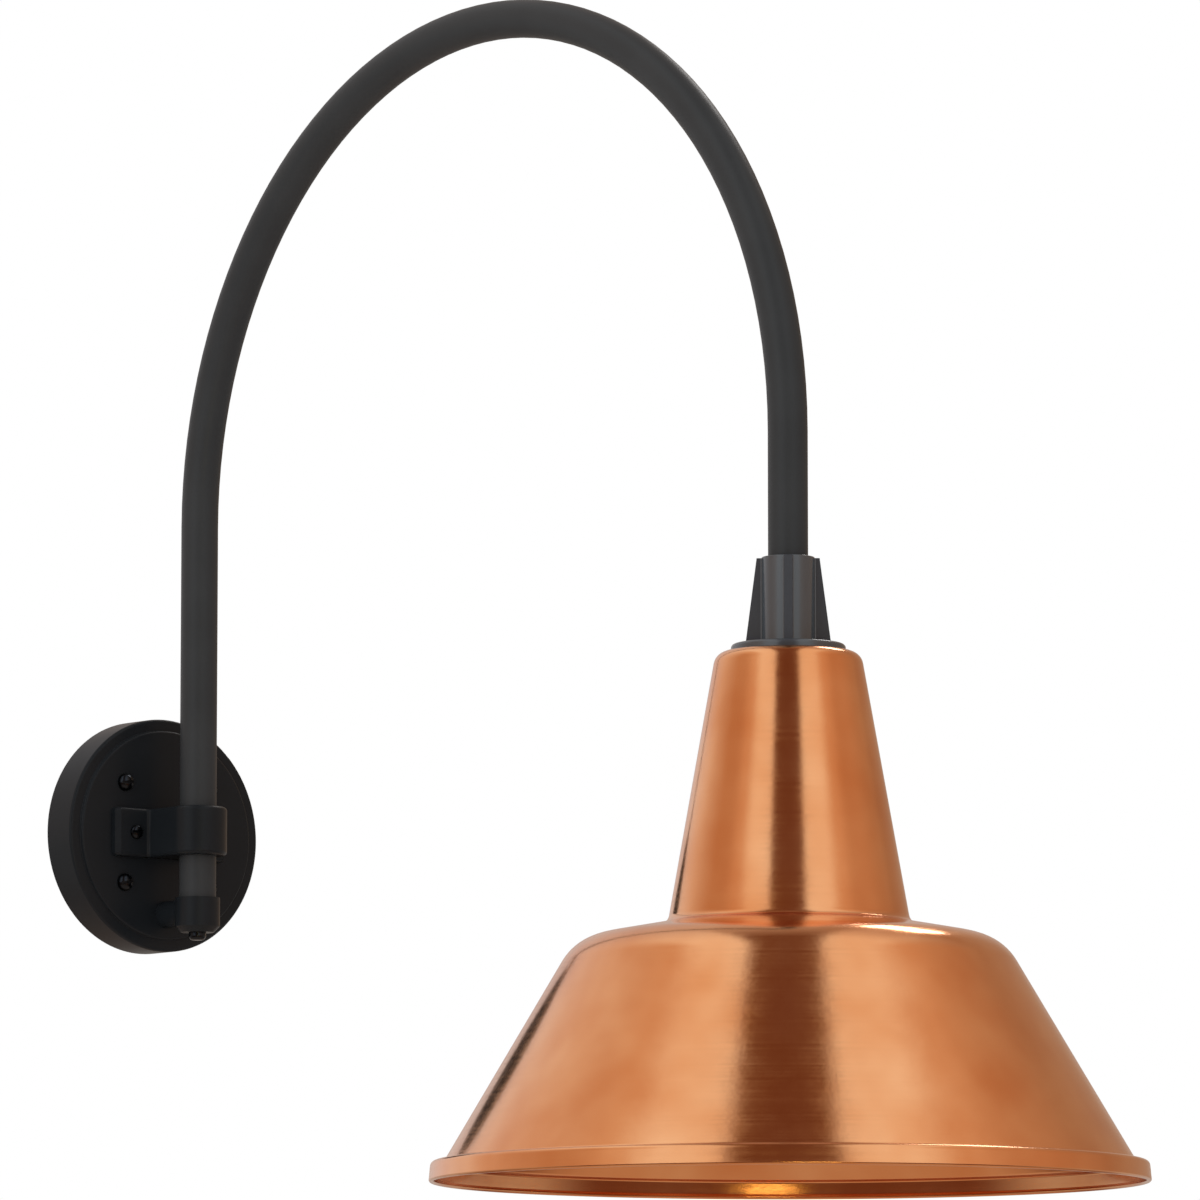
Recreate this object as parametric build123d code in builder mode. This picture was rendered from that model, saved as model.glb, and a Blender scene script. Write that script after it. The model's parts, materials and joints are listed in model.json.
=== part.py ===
"""Gooseneck wall light: round canopy, swivelling bent arm, ribbed hub and a spun copper shade.

Millimetres. The wall is the plane y = 0, the light reaches out along -Y, +Z is up, and the
origin is the centre of the canopy's back. "Out" below means the distance from the wall.
"""
import os
from math import asin, cos, degrees, radians, sin, tan

from build123d import *

# Clearances
RUN_FIT = 0.05        # radial, between pieces that turn in each other
LOOSE_FIT = 0.1       # radial, between screws and the holes they pass through or thread into
FACE_GAP = 0.05       # between flat faces that slide on each other

# Gooseneck arm
TUBE_OD = 20.0
TUBE_WALL = 1.5
LEG_OUT = 51.0        # wall to the axis of the upright leg
BEND_R = 242.5        # half-round bend at the top, on the tube's axis
BEND_Z = 166.5        # height at which both legs run into the bend
DROP = 98.2           # straight length above the shade, from the bend to the tip

# Canopy, a hollow stepped dish open to the wall
CANOPY_R = 63.5
CANOPY_DEPTH = 21.0   # wall to the flat rim
CANOPY_WALL = 2.5
RIM_W = 6.5           # flat rim around the raised disc
RING_STEP = 2.0       # height of the raised disc
RIM_FILLET = 1.6
RING_FILLET = 1.2
STEP_FILLET = 0.5

# Canopy screws, on a rectangle
CANOPY_SCREW_X = 57.0
CANOPY_SCREW_Z = 54.4
CANOPY_SCREW_R = 2.0
CANOPY_HEAD_R = 4.8
CANOPY_HEAD_H = 4.4

# Mounting plate behind the canopy
PLATE_T = 2.0
PLATE_GAP = 3.0       # between the plate's edge and the canopy's wall
PLATE_WIRE_R = 15.0
SLOT_SPACING = 81.0
SLOT_LENGTH = 20.0
SLOT_WIDTH = 5.0
GROUND_Z = 40.0
GROUND_SCREW_R = 2.0
GROUND_HEAD_R = 4.0
GROUND_HEAD_H = 3.0

# Arm bracket, a casting bored for the tube
BRACKET_WALL = 5.7    # around the bore
BRACKET_H = 26.5
BRACKET_EDGE = 2.2    # rounding of its top and bottom edges
WING_L = 21.25        # each wing, out from the saddle's side
WING_T = 5.0
WING_CORNER = 2.0     # hollow corner between a wing and the saddle
WING_BEVEL = 2.4
WING_SCREW_OUT = 8.75  # saddle's side out to the screw
BRACKET_SCREW_R = 2.0
BRACKET_HEAD_R = 3.9
BRACKET_HEAD_H = 2.8
BRACKET_NUT_FLATS = 7.0
BRACKET_NUT_H = 3.2
SCREW_TAIL = 1.5      # thread standing out past a nut
SLOT_CUT_W = 1.1      # screwdriver slots
SLOT_CUT_DEPTH = 1.2

# Wire elbow under the bracket
ELBOW_EDGE = 11.1     # canopy's inner wall in to the stub's axis
STUB_R = 7.3
STUB_BORE_R = 4.5
SPIGOT_R = 6.0        # threaded end inside the canopy
ELBOW_NUT_FLATS = 17.0
ELBOW_NUT_H = 4.0
CUP_WALL = 2.1
CUP_ABOVE = 7.4       # stub's axis up to the cup's mouth
CUP_BELOW = 7.2       # stub's axis down to the cup's floor
CUP_FLOOR_T = 4.2
CUP_BEVEL = 3.2

# Foot of the arm
WASHER_T = 0.8
PLUG_T = 2.7
PIVOT_R = 2.5
PIVOT_HEAD_R = 4.7
PIVOT_HEAD_H = 4.2
PIVOT_HEAD_FILLET = 2.4
SWIVEL = 60.0         # each way, in degrees

# Lead
CABLE_OD = 5.2
CABLE_BEND = 6.0
CABLE_RUN_IN = 0.5    # straight out of the wall before the first bend
CABLE_JOIN_GAP = 0.2
WINDOW_GAP = 0.8      # around the lead where it enters the tube

# Hub
HUB_WALL = 3.25       # around the tube's socket
HUB_WEB = 12.5        # under the tube's tip
HUB_SOCKET = 34.8     # depth of the tube's socket
HUB_TOP_FILLET = 0.5
TIP_GAP = 0.3
FLANGE_R = 28.6
FLANGE_T = 3.7
FLANGE_FILLET = 2.0
RIB_ANGLE = -131.0    # direction of the first rib, in degrees from +X
RIB_T = 4.2
RIB_TOP_OUT = 2.4     # out from the hub's wall, at the ribs' tops
RIB_FOOT_OUT = 8.0    # and at their feet
RIB_TOP_DROP = 0.1    # hub's rounded top edge down to the ribs' tops
RIB_FILLET = 0.9
SET_SCREW_R = 2.5
SET_SCREW_KEY = 2.5   # across the flats of its hexagon socket
SET_SCREW_KEY_DEPTH = 1.6
SET_SCREW_SUNK = 0.3
HUB_SET_SCREW_UP = 20.0  # above the tube's tip

# Copper shade, outside sizes
SHADE_T = 1.0
NECK_TOP_R = 36.1
NECK_BASE_R = 60.1
SHOULDER_R = 106.0
LIP_BASE_R = 178.3    # the shade's greatest radius
LIP_FLARE = 1.0       # the lip leans out this much on its way down
LEDGE_W = 6.6         # level ledge from the skirt out to the lip
NECK_H = 135.0
SHOULDER_DROP = 8.35
SKIRT_H = 109.85
LIP_H = 10.4
NECK_TOP_FILLET = 7.2
NECK_BASE_FILLET = 5.0
SHOULDER_FILLET = 28.2
SKIRT_BASE_FILLET = 1.6
LIP_FILLET = 2.6
BEAD_R = 1.3          # rolled edge

# Nipple that clamps the shade under the hub
NIPPLE_R = 4.85
NIPPLE_BORE_R = 3.25
NIPPLE_UP = 9.5       # into the hub
NIPPLE_DOWN = 5.0     # below the nut, into the socket's collar
NIPPLE_NUT_FLATS = 15.0
NIPPLE_NUT_H = 4.0
SHADE_WASHER_R = 22.0
SHADE_WASHER_T = 1.5

# Lamp holder
COLLAR_R = 8.0
COLLAR_H = 7.0
SOCKET_CAP_R = 18.0
SOCKET_CAP_WALL = 1.0
SOCKET_CAP_H = 16.0
SOCKET_CAP_FILLET = 4.0
SOCKET_LIP = 1.5      # porcelain out past its metal cap
SOCKET_H = 37.7       # below its metal cap
SOCKET_EDGE = 2.0
SOCKET_WEB = 21.0     # solid porcelain above the screw shell
SHELL_R = 13.5        # inside of the screw shell
SHELL_WALL = 0.7
SHELL_RECESS = 2.0    # mouth of the holder up to the shell's edge
CONTACT_R = 4.5
CONTACT_T = 1.8

# Lamp
BULB_FIT = 0.3        # radial, its cap in the screw shell
CONTACT_GAP = 0.3
BULB_CONTACT_T = 1.9
INSULATOR_H = 3.0
INSULATOR_R = 11.0
BULB_CAP_H = 24.0
BULB_CAP_WALL = 0.5
BULB_R = 30.0
BULB_WAIST = 12.0     # straight neck of the glass
BULB_SLOPE = 30.0     # height of the slope from the neck to the full width
BULB_BARREL = 42.0    # height of the full width and the round end
BULB_NECK_FILLET = 20.0
BULB_SIDE_FILLET = 24.0
GLASS_T = 1.0
GLASS_FIT = 0.3       # radial, the glass in its cap
GLASS_IN_CAP = 3.0

# Places worked out from the sizes above
tube_r = TUBE_OD / 2
bore_r = tube_r + RUN_FIT
shade_out = LEG_OUT + 2 * BEND_R
ring_r = CANOPY_R - RIM_W
face_out = CANOPY_DEPTH + RING_STEP
inside_out = face_out - CANOPY_WALL

saddle_r = bore_r + BRACKET_WALL
wing_out = face_out + WING_T
wing_span = 2 * (saddle_r + WING_L)
wing_screw_x = 2 * (saddle_r + WING_SCREW_OUT)

cup_r = bore_r + CUP_WALL
stub_z = -(ring_r - CANOPY_WALL - ELBOW_EDGE)
cup_top_z = stub_z + CUP_ABOVE
cup_floor_z = stub_z - CUP_BELOW
cup_bottom_z = cup_floor_z - CUP_FLOOR_T
foot_z = cup_floor_z + WASHER_T + FACE_GAP
cable_r = CABLE_OD / 2

hub_r = bore_r + HUB_WALL
tip_z = BEND_Z - DROP
ledge_z = tip_z - TIP_GAP
hub_bottom_z = ledge_z - HUB_WEB
hub_top_z = ledge_z + HUB_SOCKET
flange_top_z = hub_bottom_z + FLANGE_T
lip_top_r = LIP_BASE_R - LIP_FLARE
skirt_base_r = lip_top_r - LEDGE_W
neck_base_z = hub_bottom_z - NECK_H
shoulder_z = neck_base_z - SHOULDER_DROP
ledge_rim_z = shoulder_z - SKIRT_H
rim_z = ledge_rim_z - LIP_H

washer_top_z = hub_bottom_z - SHADE_T
nut_top_z = washer_top_z - SHADE_WASHER_T
collar_top_z = nut_top_z - NIPPLE_NUT_H
cap_top_z = collar_top_z - COLLAR_H
socket_top_z = cap_top_z - SOCKET_CAP_WALL
cap_base_z = cap_top_z - SOCKET_CAP_H
socket_r = SOCKET_CAP_R + SOCKET_LIP
socket_mouth_z = cap_base_z - SOCKET_H
shell_top_z = socket_top_z - SOCKET_WEB
shell_r_out = SHELL_R + SHELL_WALL
bulb_tip_z = shell_top_z - CONTACT_T - CONTACT_GAP
insulator_top_z = bulb_tip_z - BULB_CONTACT_T
bulb_cap_top_z = insulator_top_z - INSULATOR_H
bulb_cap_base_z = bulb_cap_top_z - BULB_CAP_H
bulb_cap_r = SHELL_R - BULB_FIT
bulb_neck_r = bulb_cap_r - BULB_CAP_WALL - GLASS_FIT

leg_axis = Axis((0, -LEG_OUT, 0), (0, 0, 1))
head_axis = Axis((0, -shade_out, 0), (0, 0, 1))


def upright_plane(out, angle=-90.0):
    """Plane through a vertical axis: local x leaves the axis at the angle, local y is height."""
    turn = radians(angle)
    return Plane(origin=(0, -out, 0), x_dir=(cos(turn), sin(turn), 0), z_dir=(sin(turn), -cos(turn), 0))


def level_plane(out, height):
    """Level plane on a vertical axis: local x is +X, local y points at the wall."""
    return Plane(origin=(0, -out, height), x_dir=(1, 0, 0), z_dir=(0, 0, 1))


def side_screw_plane(out, height, angle):
    """Plane across a screw that points at a vertical axis, with its normal leaving the axis."""
    turn = radians(angle)
    return Plane(origin=(0, -out, height), x_dir=(-sin(turn), cos(turn), 0), z_dir=(cos(turn), sin(turn), 0))


def round_head_screw(head_r, head_h, shank_r, shank_l):
    """Slotted round-head screw on Z, its head above z = 0."""
    with BuildPart() as screw:
        with BuildSketch(Plane.XZ):
            with BuildLine():
                Line((0, -shank_l), (shank_r, -shank_l))
                Line((shank_r, -shank_l), (shank_r, 0))
                Line((shank_r, 0), (head_r, 0))
                EllipticalCenterArc((0, 0), head_r, head_h, start_angle=0, arc_size=90)
                Line((0, head_h), (0, -shank_l))
            make_face()
        revolve(axis=Axis.Z)
        with BuildSketch(Plane.XY.offset(head_h - SLOT_CUT_DEPTH)):
            Rectangle(2 * head_r, SLOT_CUT_W)
        extrude(amount=SLOT_CUT_DEPTH, mode=Mode.SUBTRACT)
    return screw.part


def hex_nut(flats, height, hole_r):
    """Hexagon nut on Z, with its lower face at z = 0."""
    with BuildPart() as nut:
        with BuildSketch():
            RegularPolygon(flats / 2, 6, major_radius=False)
            Circle(hole_r, mode=Mode.SUBTRACT)
        extrude(amount=height)
    return nut.part


def grub_screw(length):
    """Headless screw on Z with a hexagon socket in its upper end and its tip at z = 0."""
    with BuildPart() as grub:
        Cylinder(SET_SCREW_R - LOOSE_FIT, length, align=(Align.CENTER, Align.CENTER, Align.MIN))
        with BuildSketch(Plane.XY.offset(length)):
            RegularPolygon(SET_SCREW_KEY / 2, 6, major_radius=False)
        extrude(amount=-SET_SCREW_KEY_DEPTH, mode=Mode.SUBTRACT)
    return grub.part


# Wall side: mounting plate and its ground screw
with BuildPart() as mounting_plate:
    with BuildSketch(Plane.XZ):
        Circle(CANOPY_R - CANOPY_WALL - PLATE_GAP)
        Circle(PLATE_WIRE_R, mode=Mode.SUBTRACT)
        with GridLocations(SLOT_SPACING, 0, 2, 1):
            SlotOverall(SLOT_LENGTH, SLOT_WIDTH, mode=Mode.SUBTRACT)
        with GridLocations(CANOPY_SCREW_X, CANOPY_SCREW_Z, 2, 2):
            Circle(CANOPY_SCREW_R + LOOSE_FIT, mode=Mode.SUBTRACT)
        with Locations((0, GROUND_Z)):
            Circle(GROUND_SCREW_R + LOOSE_FIT, mode=Mode.SUBTRACT)
    extrude(amount=PLATE_T)

ground_screw_shape = round_head_screw(GROUND_HEAD_R, GROUND_HEAD_H, GROUND_SCREW_R, PLATE_T)
with BuildPart(Plane.XZ.offset(PLATE_T)) as ground_screw:
    with Locations((0, GROUND_Z)):
        add(ground_screw_shape)

# Canopy: stepped dish with holes for its screws, the bracket's screws and the elbow's spigot
with BuildPart() as canopy:
    with BuildSketch(upright_plane(0)):
        with BuildLine():
            outside = FilletPolyline(
                (0, CANOPY_R),
                (CANOPY_DEPTH, CANOPY_R),
                (CANOPY_DEPTH, ring_r),
                (face_out, ring_r),
                (face_out, 0),
                radius=[RIM_FILLET, STEP_FILLET, RING_FILLET],
            )
            Polyline(
                outside @ 1,
                (inside_out, 0),
                (inside_out, ring_r - CANOPY_WALL),
                (CANOPY_DEPTH - CANOPY_WALL, ring_r - CANOPY_WALL),
                (CANOPY_DEPTH - CANOPY_WALL, CANOPY_R - CANOPY_WALL),
                (0, CANOPY_R - CANOPY_WALL),
                outside @ 0,
            )
        make_face()
    revolve(axis=Axis.Y)
    with BuildSketch(Plane.XZ.offset(face_out)):
        with GridLocations(CANOPY_SCREW_X, CANOPY_SCREW_Z, 2, 2):
            Circle(CANOPY_SCREW_R + LOOSE_FIT)
        with GridLocations(wing_screw_x, 0, 2, 1):
            Circle(BRACKET_SCREW_R + LOOSE_FIT)
        with Locations((0, stub_z)):
            Circle(SPIGOT_R + LOOSE_FIT)
    extrude(amount=-CANOPY_WALL, mode=Mode.SUBTRACT)

canopy_screw_shape = round_head_screw(CANOPY_HEAD_R, CANOPY_HEAD_H, CANOPY_SCREW_R, face_out)
with BuildPart(Plane.XZ.offset(face_out)) as canopy_screws:
    with GridLocations(CANOPY_SCREW_X, CANOPY_SCREW_Z, 2, 2):
        add(canopy_screw_shape)

# Arm bracket: saddle with a wing each side, bored for the tube
with BuildPart() as arm_bracket:
    with BuildSketch(level_plane(0, -BRACKET_H / 2)):
        with Locations((0, -face_out)):
            Rectangle(wing_span, WING_T, align=(Align.CENTER, Align.MAX))
            Rectangle(2 * saddle_r, LEG_OUT - face_out, align=(Align.CENTER, Align.MAX))
        wing_ends = vertices().group_by(Axis.X)[0] + vertices().group_by(Axis.X)[-1]
        chamfer(wing_ends.group_by(Axis.Y)[0], WING_BEVEL)
        fillet([vertices().sort_by_distance((x, -wing_out))[0] for x in (-saddle_r, saddle_r)], WING_CORNER)
        with Locations((0, -LEG_OUT)):
            Circle(saddle_r)
    extrude(amount=BRACKET_H)
    level_edges = edges().group_by(Axis.Z)[0] + edges().group_by(Axis.Z)[-1]
    front_edges = level_edges.filter_by_position(Axis.Y, -LEG_OUT - saddle_r, -face_out, (True, False))
    fillet(front_edges, BRACKET_EDGE)
    with BuildSketch(level_plane(LEG_OUT, -BRACKET_H / 2)):
        Circle(bore_r)
    extrude(amount=BRACKET_H, mode=Mode.SUBTRACT)
    with BuildSketch(Plane.XZ.offset(face_out)):
        with GridLocations(wing_screw_x, 0, 2, 1):
            Circle(BRACKET_SCREW_R + LOOSE_FIT)
    extrude(amount=WING_T, mode=Mode.SUBTRACT)
    with BuildSketch(side_screw_plane(LEG_OUT, 0, 0)):
        Circle(SET_SCREW_R)
    extrude(amount=saddle_r, mode=Mode.SUBTRACT)

bracket_shank = WING_T + CANOPY_WALL + BRACKET_NUT_H + SCREW_TAIL
bracket_screw_shape = round_head_screw(BRACKET_HEAD_R, BRACKET_HEAD_H, BRACKET_SCREW_R, bracket_shank)
with BuildPart(Plane.XZ.offset(wing_out)) as bracket_screws:
    with GridLocations(wing_screw_x, 0, 2, 1):
        add(bracket_screw_shape)

bracket_nut_shape = hex_nut(BRACKET_NUT_FLATS, BRACKET_NUT_H, BRACKET_SCREW_R + LOOSE_FIT)
with BuildPart(Plane.XZ.offset(inside_out - BRACKET_NUT_H)) as bracket_nuts:
    with GridLocations(wing_screw_x, 0, 2, 1):
        add(bracket_nut_shape)

bracket_grub_shape = grub_screw(BRACKET_WALL - SET_SCREW_SUNK)
with BuildPart(side_screw_plane(LEG_OUT, 0, 0).offset(bore_r)) as bracket_set_screw:
    add(bracket_grub_shape)

# Wire elbow: cup under the tube with a stub back to the canopy
spigot_l = CANOPY_WALL + ELBOW_NUT_H + SCREW_TAIL
with BuildPart() as wire_elbow:
    with BuildSketch(upright_plane(LEG_OUT)):
        with BuildLine():
            Polyline(
                (0, cup_bottom_z),
                (cup_r - CUP_BEVEL, cup_bottom_z),
                (cup_r, cup_bottom_z + CUP_BEVEL),
                (cup_r, cup_top_z),
                (0, cup_top_z),
                close=True,
            )
        make_face()
    revolve(axis=leg_axis)
    with BuildSketch(Plane.XZ.offset(face_out)):
        with Locations((0, stub_z)):
            Circle(STUB_R)
    extrude(amount=LEG_OUT - face_out)
    with BuildSketch(Plane.XZ.offset(face_out - spigot_l)):
        with Locations((0, stub_z)):
            Circle(SPIGOT_R)
    extrude(amount=spigot_l)
    with BuildSketch(level_plane(LEG_OUT, cup_floor_z)):
        Circle(bore_r)
    extrude(amount=cup_top_z - cup_floor_z + STUB_R, mode=Mode.SUBTRACT)
    with BuildSketch(level_plane(LEG_OUT, cup_bottom_z)):
        Circle(PIVOT_R + LOOSE_FIT)
    extrude(amount=CUP_FLOOR_T, mode=Mode.SUBTRACT)
    with BuildSketch(Plane.XZ.offset(face_out - spigot_l)):
        with Locations((0, stub_z)):
            Circle(STUB_BORE_R)
    extrude(amount=spigot_l + LEG_OUT - face_out, mode=Mode.SUBTRACT)

elbow_nut_shape = hex_nut(ELBOW_NUT_FLATS, ELBOW_NUT_H, SPIGOT_R + LOOSE_FIT)
with BuildPart(Plane.XZ.offset(inside_out - ELBOW_NUT_H)) as elbow_nut:
    with Locations((0, stub_z)):
        add(elbow_nut_shape)

with BuildPart() as thrust_washer:
    with BuildSketch(level_plane(LEG_OUT, cup_floor_z)):
        Circle(tube_r)
        Circle(PIVOT_R + LOOSE_FIT, mode=Mode.SUBTRACT)
    extrude(amount=WASHER_T)

# Arm: bent tube with a window at its foot, so that the lead stays still while the arm swivels
window_half = SWIVEL + degrees(asin((cable_r + WINDOW_GAP) / (tube_r - TUBE_WALL)))
with BuildPart() as gooseneck_tube:
    with BuildLine(upright_plane(0)) as arm_line:
        Line((LEG_OUT, foot_z), (LEG_OUT, BEND_Z))
        CenterArc((LEG_OUT + BEND_R, BEND_Z), BEND_R, 180, -180)
        Line((shade_out, BEND_Z), (shade_out, tip_z))
    with BuildSketch(level_plane(LEG_OUT, foot_z)):
        Circle(tube_r)
        Circle(tube_r - TUBE_WALL, mode=Mode.SUBTRACT)
    sweep(path=arm_line.wires()[0])
    with BuildSketch(level_plane(LEG_OUT, stub_z - cable_r - WINDOW_GAP)):
        with BuildLine():
            Polyline(
                (0, 0),
                (TUBE_OD, TUBE_OD / tan(radians(window_half))),
                (TUBE_OD, TUBE_OD),
                (-TUBE_OD, TUBE_OD),
                (-TUBE_OD, TUBE_OD / tan(radians(window_half))),
                close=True,
            )
        make_face()
    extrude(amount=CABLE_OD + 2 * WINDOW_GAP, mode=Mode.SUBTRACT)

with BuildPart() as tube_plug:
    with BuildSketch(level_plane(LEG_OUT, foot_z)):
        Circle(tube_r - TUBE_WALL - RUN_FIT)
        Circle(PIVOT_R + LOOSE_FIT, mode=Mode.SUBTRACT)
    extrude(amount=PLUG_T)

with BuildPart() as pivot_screw:
    with BuildSketch(level_plane(LEG_OUT, cup_bottom_z - FACE_GAP)):
        Circle(PIVOT_HEAD_R)
    extrude(amount=-PIVOT_HEAD_H)
    fillet(edges().group_by(Axis.Z)[0], PIVOT_HEAD_FILLET)
    with BuildSketch(level_plane(LEG_OUT, cup_bottom_z - FACE_GAP)):
        Circle(PIVOT_R)
    extrude(amount=foot_z + PLUG_T - cup_bottom_z)

# Lead, in the three lengths that move apart
supply_cable_out = CABLE_RUN_IN + CABLE_BEND
cable_join_z = stub_z + CABLE_BEND + cable_r
with BuildPart() as supply_cable:
    with BuildLine(upright_plane(0)) as supply_line:
        FilletPolyline(
            (LEG_OUT, cable_join_z),
            (LEG_OUT, stub_z),
            (supply_cable_out, stub_z),
            (supply_cable_out, 0),
            (0, 0),
            radius=CABLE_BEND,
        )
    with BuildSketch(level_plane(LEG_OUT, cable_join_z)):
        Circle(cable_r)
    sweep(path=supply_line.wires()[0])

arm_cable_end_z = tip_z + cable_r
with BuildPart() as arm_cable:
    with BuildLine(upright_plane(0)) as arm_cable_line:
        Line((LEG_OUT, cable_join_z + CABLE_JOIN_GAP), (LEG_OUT, BEND_Z))
        CenterArc((LEG_OUT + BEND_R, BEND_Z), BEND_R, 180, -180)
        Line((shade_out, BEND_Z), (shade_out, arm_cable_end_z))
    with BuildSketch(level_plane(LEG_OUT, cable_join_z + CABLE_JOIN_GAP)):
        Circle(cable_r)
    sweep(path=arm_cable_line.wires()[0])

with BuildPart() as head_cable:
    with BuildSketch(level_plane(shade_out, socket_top_z)):
        Circle(cable_r)
    extrude(amount=arm_cable_end_z - CABLE_JOIN_GAP - socket_top_z)

# Hub: socket for the tube, ribs and a flange over the shade
hub_set_screw_angles = [RIB_ANGLE + 135, RIB_ANGLE + 225]
hub_set_screw_z = tip_z + HUB_SET_SCREW_UP
rib_top_z = hub_top_z - HUB_TOP_FILLET - RIB_TOP_DROP
with BuildPart() as fitter_hub:
    with BuildSketch(level_plane(shade_out, hub_bottom_z)):
        Circle(hub_r)
    extrude(amount=hub_top_z - hub_bottom_z)
    for quarter in range(4):
        with BuildSketch(upright_plane(shade_out, RIB_ANGLE + 90 * quarter)):
            with BuildLine():
                Polyline(
                    (hub_r - RIB_T / 2, hub_bottom_z),
                    (hub_r + RIB_FOOT_OUT, hub_bottom_z),
                    (hub_r + RIB_FOOT_OUT, flange_top_z),
                    (hub_r + RIB_TOP_OUT, rib_top_z),
                    (hub_r - RIB_T / 2, rib_top_z),
                    close=True,
                )
            make_face()
        extrude(amount=RIB_T / 2, both=True)
    rib_mid_z = (rib_top_z + hub_bottom_z) / 2
    upright_edges = edges().filter_by(Axis.Z)
    fillet(upright_edges.filter_by_position(Axis.Z, rib_mid_z - RIB_T, rib_mid_z + RIB_T), RIB_FILLET)
    fillet(edges().group_by(Axis.Z)[-1], HUB_TOP_FILLET)
    with BuildSketch(upright_plane(shade_out)):
        with BuildLine():
            flange_edge = FilletPolyline(
                (0, flange_top_z),
                (FLANGE_R, flange_top_z),
                (FLANGE_R, hub_bottom_z),
                radius=FLANGE_FILLET,
            )
            Polyline(flange_edge @ 1, (0, hub_bottom_z), flange_edge @ 0)
        make_face()
    revolve(axis=head_axis)
    with BuildSketch(level_plane(shade_out, ledge_z)):
        Circle(bore_r)
    extrude(amount=HUB_SOCKET, mode=Mode.SUBTRACT)
    with BuildSketch(level_plane(shade_out, hub_bottom_z)):
        Circle(NIPPLE_R + LOOSE_FIT)
    extrude(amount=HUB_WEB, mode=Mode.SUBTRACT)
    for angle in hub_set_screw_angles:
        with BuildSketch(side_screw_plane(shade_out, hub_set_screw_z, angle)):
            Circle(SET_SCREW_R)
        extrude(amount=hub_r, mode=Mode.SUBTRACT)

hub_grub_shape = grub_screw(HUB_WALL - SET_SCREW_SUNK)
with BuildPart() as hub_set_screws:
    for angle in hub_set_screw_angles:
        with Locations(side_screw_plane(shade_out, hub_set_screw_z, angle).offset(bore_r)):
            add(hub_grub_shape)

# Shade: one spun sheet, its edge rolled
with BuildPart() as copper_shade:
    with BuildSketch(upright_plane(shade_out)):
        with BuildLine():
            FilletPolyline(
                (NIPPLE_R + LOOSE_FIT, hub_bottom_z),
                (NECK_TOP_R, hub_bottom_z),
                (NECK_BASE_R, neck_base_z),
                (SHOULDER_R, shoulder_z),
                (skirt_base_r, ledge_rim_z),
                (lip_top_r, ledge_rim_z),
                (LIP_BASE_R, rim_z + BEAD_R),
                radius=[NECK_TOP_FILLET, NECK_BASE_FILLET, SHOULDER_FILLET, SKIRT_BASE_FILLET, LIP_FILLET],
            )
            offset(amount=SHADE_T, side=Side.RIGHT)
        make_face()
        with Locations((LIP_BASE_R - BEAD_R, rim_z + BEAD_R)):
            Circle(BEAD_R)
    revolve(axis=head_axis)

with BuildPart() as shade_washer:
    with BuildSketch(level_plane(shade_out, nut_top_z)):
        Circle(SHADE_WASHER_R)
        Circle(NIPPLE_R + LOOSE_FIT, mode=Mode.SUBTRACT)
    extrude(amount=SHADE_WASHER_T)

with BuildPart() as nipple:
    with BuildSketch(level_plane(shade_out, collar_top_z - NIPPLE_DOWN)):
        Circle(NIPPLE_R)
        Circle(NIPPLE_BORE_R, mode=Mode.SUBTRACT)
    extrude(amount=NIPPLE_DOWN + hub_bottom_z - collar_top_z + NIPPLE_UP)

nipple_nut_shape = hex_nut(NIPPLE_NUT_FLATS, NIPPLE_NUT_H, NIPPLE_R + LOOSE_FIT)
with BuildPart(level_plane(shade_out, collar_top_z)) as nipple_nut:
    add(nipple_nut_shape)

# Lamp holder
with BuildPart() as socket_cap:
    with BuildSketch(upright_plane(shade_out)):
        with BuildLine():
            cap_outside = FilletPolyline(
                (COLLAR_R, collar_top_z),
                (COLLAR_R, cap_top_z),
                (SOCKET_CAP_R, cap_top_z),
                (SOCKET_CAP_R, cap_base_z),
                radius=[SOCKET_CAP_WALL, SOCKET_CAP_FILLET],
            )
            cap_inside = FilletPolyline(
                (SOCKET_CAP_R - SOCKET_CAP_WALL, cap_base_z),
                (SOCKET_CAP_R - SOCKET_CAP_WALL, socket_top_z),
                (NIPPLE_R + LOOSE_FIT, socket_top_z),
                (NIPPLE_R + LOOSE_FIT, collar_top_z),
                radius=[SOCKET_CAP_FILLET - SOCKET_CAP_WALL, SOCKET_CAP_WALL / 2],
            )
            Line(cap_outside @ 1, cap_inside @ 0)
            Line(cap_inside @ 1, cap_outside @ 0)
        make_face()
    revolve(axis=head_axis)

with BuildPart() as socket_body:
    with BuildSketch(upright_plane(shade_out)):
        with BuildLine():
            body_outside = FilletPolyline(
                (0, socket_top_z),
                (SOCKET_CAP_R - SOCKET_CAP_WALL - RUN_FIT, socket_top_z),
                (SOCKET_CAP_R - SOCKET_CAP_WALL - RUN_FIT, cap_base_z),
                (socket_r, cap_base_z),
                (socket_r, socket_mouth_z),
                (shell_r_out + LOOSE_FIT, socket_mouth_z),
                radius=[SOCKET_CAP_FILLET, RUN_FIT, SOCKET_EDGE, SOCKET_EDGE],
            )
            Polyline(
                body_outside @ 1,
                (shell_r_out + LOOSE_FIT, shell_top_z),
                (0, shell_top_z),
                body_outside @ 0,
            )
        make_face()
    revolve(axis=head_axis)

with BuildPart() as screw_shell:
    with BuildSketch(level_plane(shade_out, socket_mouth_z + SHELL_RECESS)):
        Circle(shell_r_out)
        Circle(SHELL_R, mode=Mode.SUBTRACT)
    extrude(amount=shell_top_z - socket_mouth_z - SHELL_RECESS)

with BuildPart() as centre_contact:
    with BuildSketch(level_plane(shade_out, shell_top_z)):
        Circle(CONTACT_R)
    extrude(amount=-CONTACT_T)

# Lamp
with BuildPart() as bulb_contact:
    with BuildSketch(level_plane(shade_out, bulb_tip_z)):
        Circle(CONTACT_R)
    extrude(amount=-BULB_CONTACT_T)
    fillet(edges().group_by(Axis.Z)[-1], BULB_CONTACT_T / 2)

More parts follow.
